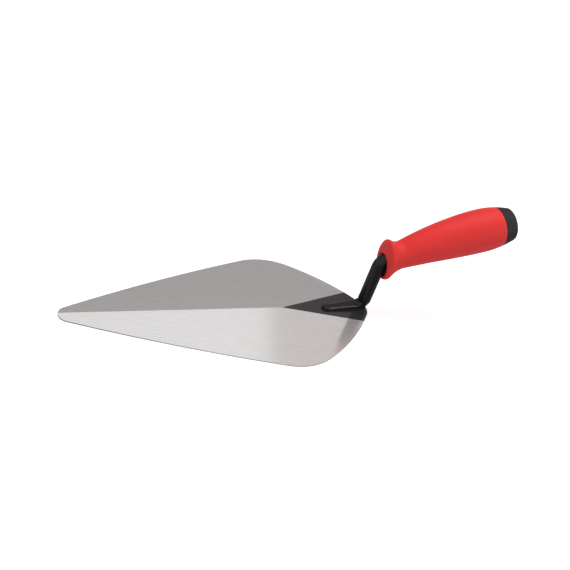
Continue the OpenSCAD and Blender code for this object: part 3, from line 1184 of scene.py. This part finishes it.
    def _core(self) -> bpy.types.Object:
        """Lofts the core from its nose in the mouth to its butt, and turns the spigot for the cap.

        Returns:
            The piece.
        """
        bm = bmesh.new()
        chamfer = self.nose_set / 2
        nose_at = self.mouth_at + self.nose_set
        nose_steps, body_steps = self.core_steps
        stations = spread(nose_at, self.waist_at, nose_steps)
        stations += spread(self.waist_at, self.rear_at - self.butt_l, body_steps)
        rings = [self._core_ring(nose_at, chamfer), self._core_ring(nose_at + chamfer)]
        rings += [self._core_ring(s) for s in stations]
        loft(bm, rings, self.core_sides, closed_ends=True)
        butt_r, spigot_r = self.core_d / 2 - self.butt_step, self.spigot_d / 2
        outline = [
            (-2 * self.butt_l, 0.0),
            (-2 * self.butt_l, butt_r),
            (0.0, butt_r),
            (0.0, spigot_r),
            (self.spigot_l, spigot_r),
            (self.spigot_l, 0.0),
        ]
        lathe(bm, outline, self._rear_place(), self.core_sides)
        return make_piece(bm, "hard_core", "handle_core")

    def _rear_place(self) -> Matrix:
        """Place of the sleeve's rear edge, with X square to it."""
        turn = Matrix.Rotation(self._arch_lean(self.rear_at), 4, "Y")
        return self.place @ Matrix.Translation((self.rear_at, 0, 0)) @ turn

    def _cap(self) -> bpy.types.Object:
        """Turns the end cap, which continues the sleeve to a rounded rim and a domed face.

        Returns:
            The piece.
        """
        bm = bmesh.new()
        seam_at, rim_at = self.seam + self.cap_gap, self.cap_l - self.cap_rim_r
        face_r = self._tail_r(self.rear_at + rim_at) - self.cap_rim_r
        outline = [
            (self.cap_gap, 0.0),
            (self.cap_gap, self._tail_r(self.rear_at) - self.seam),
            (seam_at, self._tail_r(self.rear_at + self.seam)),
        ]
        outline += [(s, self._tail_r(self.rear_at + s)) for s in spread(seam_at, rim_at, self.cap_steps)]
        outline += [
            (rim_at + self.cap_rim_r * math.sin(angle), face_r + self.cap_rim_r * math.cos(angle))
            for angle in spread(0, math.pi / 2, self.rim_steps)
        ]
        dome = spread(0, 1, self.dome_steps)
        outline += [(self.cap_l + self.cap_dome * smooth(u), face_r * (1 - u)) for u in dome]
        lathe(bm, outline, self._rear_place(), self.sides)
        return make_piece(bm, "butt_cap", "end_cap", smooth_angle=50)


# Studio


@dataclass(frozen=True)
class Card:
    """Reflector card that only shows in gloss, as four corners and its colour."""

    name: str
    corners: tuple[Point, ...]
    colour: Colour


@dataclass(frozen=True)
class SoftBox:
    """Square area lamp that points at the trowel."""

    name: str
    place: Point
    size: float
    watts: float


@dataclass
class Studio:
    """Pale floor, soft lamps, reflector cards and the camera of the photograph."""

    floor_half: float = 2.0
    floor_drop: float = 0.00005
    floor_colour: Colour = (0.8, 0.8, 0.8)
    floor_rough: float = 0.9
    floor_glow: float = 0.55
    ambient: float = 0.45
    aim: Point = (-0.06, 0.0, 0.03)
    image_px: float = 570.0
    focal_px: float = 850.0
    sensor: float = 36.0
    eye: Point = (-0.39577, -0.50075, 0.46107)
    right: Point = (0.90522, -0.3287, 0.26933)
    down: Point = (-0.00981, -0.64977, -0.76007)

    def build(self) -> None:
        """Makes the camera, the world, the floor, the lamps and the cards."""
        bpy.context.scene.view_settings.view_transform = "Standard"
        self._camera()
        self._world()
        self._floor()
        for lamp in LAMPS:
            self._lamp(lamp)
        for card in CARDS:
            self._card(card)

    def _camera(self) -> None:
        """Sets the camera where the photograph's camera stood."""
        lens = bpy.data.cameras.new("photo_camera")
        lens.sensor_fit = "HORIZONTAL"
        lens.sensor_width = self.sensor
        lens.lens = self.focal_px / self.image_px * self.sensor
        camera = bpy.data.objects.new("photo_camera", lens)
        bpy.context.scene.collection.objects.link(camera)
        right = Vector(self.right).normalized()
        back = right.cross(-Vector(self.down)).normalized()
        up = back.cross(right)
        turn = Matrix((right, up, back)).transposed().to_4x4()
        camera.matrix_world = Matrix.Translation(self.eye) @ turn
        bpy.context.scene.camera = camera

    @staticmethod
    def _seen(graph: Graph) -> bpy.types.NodeSocket:
        """Tells the rays that show the background from those that only light.

        Args:
            graph: Graph of the world or of the floor.

        Returns:
            A socket that is 1 for camera, glossy and transmission rays.
        """
        path = graph.add("ShaderNodeLightPath")
        direct = graph.maths("MAXIMUM", path.outputs["Is Camera Ray"], path.outputs["Is Glossy Ray"])
        return graph.maths("MAXIMUM", direct, path.outputs["Is Transmission Ray"])

    def _world(self) -> None:
        """Makes a white world that lights softly and shows as plain white."""
        world = bpy.data.worlds.new("white_studio")
        bpy.context.scene.world = world
        world.use_nodes = True
        world.node_tree.nodes.clear()
        graph = Graph(world.node_tree)
        glow = graph.spread_to(self._seen(graph), self.ambient, 1.0, 0.0, 1.0)
        sky = graph.add("ShaderNodeBackground", Color=(1, 1, 1, 1), Strength=glow)
        output = graph.add("ShaderNodeOutputWorld")
        graph.feed(output.inputs["Surface"], sky.outputs[0])

    def _floor(self) -> None:
        """Makes the white floor, which keeps a soft shadow."""
        bm = bmesh.new()
        bmesh.ops.create_grid(bm, x_segments=1, y_segments=1, size=self.floor_half)
        bmesh.ops.translate(bm, vec=(0, 0, -self.floor_drop), verts=bm.verts)
        floor = self._stage_object(bm, "pale_floor")
        material, graph, output = new_material("pale_floor")
        glow = graph.maths("MULTIPLY", self._seen(graph), self.floor_glow)
        shader = graph.add(
            "ShaderNodeBsdfPrincipled",
            Base_Color=(*self.floor_colour, 1),
            Roughness=self.floor_rough,
            Specular_IOR_Level=0.0,
            Emission_Color=(1, 1, 1, 1),
            Emission_Strength=glow,
        )
        graph.feed(output.inputs["Surface"], shader.outputs[0])
        floor.data.materials.append(material)

    def _lamp(self, lamp: SoftBox) -> None:
        """Hangs one soft lamp.

        Args:
            lamp: Its place, size and strength.
        """
        light = bpy.data.lights.new(lamp.name, "AREA")
        light.size = lamp.size
        light.energy = lamp.watts
        hung = bpy.data.objects.new(lamp.name, light)
        bpy.context.scene.collection.objects.link(hung)
        hung.visible_glossy = False
        turn = (Vector(self.aim) - Vector(lamp.place)).to_track_quat("-Z", "Y").to_matrix().to_4x4()
        hung.matrix_world = Matrix.Translation(lamp.place) @ turn

    def _card(self, card: Card) -> None:
        """Sets up one reflector card.

        Args:
            card: Its corners and colour.
        """
        bm = bmesh.new()
        bmesh.ops.contextual_create(bm, geom=[bm.verts.new(corner) for corner in card.corners])
        panel = self._stage_object(bm, card.name)
        for ray in ("camera", "diffuse", "shadow", "transmission", "volume_scatter"):
            setattr(panel, f"visible_{ray}", False)
        material, graph, output = new_material(card.name)
        glow = graph.add("ShaderNodeEmission", Color=(*card.colour, 1), Strength=1.0)
        graph.feed(output.inputs["Surface"], glow.outputs[0])
        panel.data.materials.append(material)

    @staticmethod
    def _stage_object(bm: BMesh, name: str) -> bpy.types.Object:
        """Turns a bmesh into an object of the stage.

        Args:
            bm: Finished mesh, which is freed.
            name: Name of the object.

        Returns:
            The new object.
        """
        mesh = bpy.data.meshes.new(name)
        bm.to_mesh(mesh)
        bm.free()
        stand = bpy.data.objects.new(name, mesh)
        bpy.context.scene.collection.objects.link(stand)
        return stand


LAMPS = (
    SoftBox("key_lamp", (0.3, 0.25, 1.8), size=1.3, watts=18.0),
    SoftBox("fill_lamp", (0.5, -1.2, 1.2), size=1.2, watts=0.8),
)

# Depth at which the upright cards stand, and height of the flat one, just above the floor
WALL_Y = 1.5
FLAT_Z = -0.00002

CARDS = (
    Card(
        "grey_card",
        tuple((x, WALL_Y, z) for x, z in ((-2.0, 0.1), (3.5, 0.1), (3.5, 1.39), (-2.0, 1.38))),
        (0.2, 0.18, 0.177),
    ),
    Card(
        "pink_card",
        tuple((x, WALL_Y, z) for x, z in ((0.8, 1.39), (3.5, 1.39), (3.5, 2.6), (1.145, 2.6))),
        (0.635, 0.575, 0.57),
    ),
    Card(
        "floor_card",
        tuple((x, y, FLAT_Z) for x, y in ((-0.5, -1.4), (1.2, -1.4), (1.2, 0.6), (-0.5, 0.6))),
        (0.3, 0.3, 0.3),
    ),
)


def corners(box: tuple[Vector, Vector]) -> list[list[float]]:
    """Gives a box's two corners as plain lists."""
    return [list(corner) for corner in box]


def main() -> None:
    """Builds the studio and the trowel's sub-assemblies in order."""
    logging.basicConfig(level=logging.INFO, format="%(name)s: %(message)s")
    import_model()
    Studio().build()
    effects = Effects()
    blade = Blade()
    blade.dress(blade.build(), effects)
    shank = Shank()
    shank.dress(*shank.build(), effects)
    handle = Handle()
    handle.dress(*handle.build(), effects)


if __name__ == "__main__":
    main()
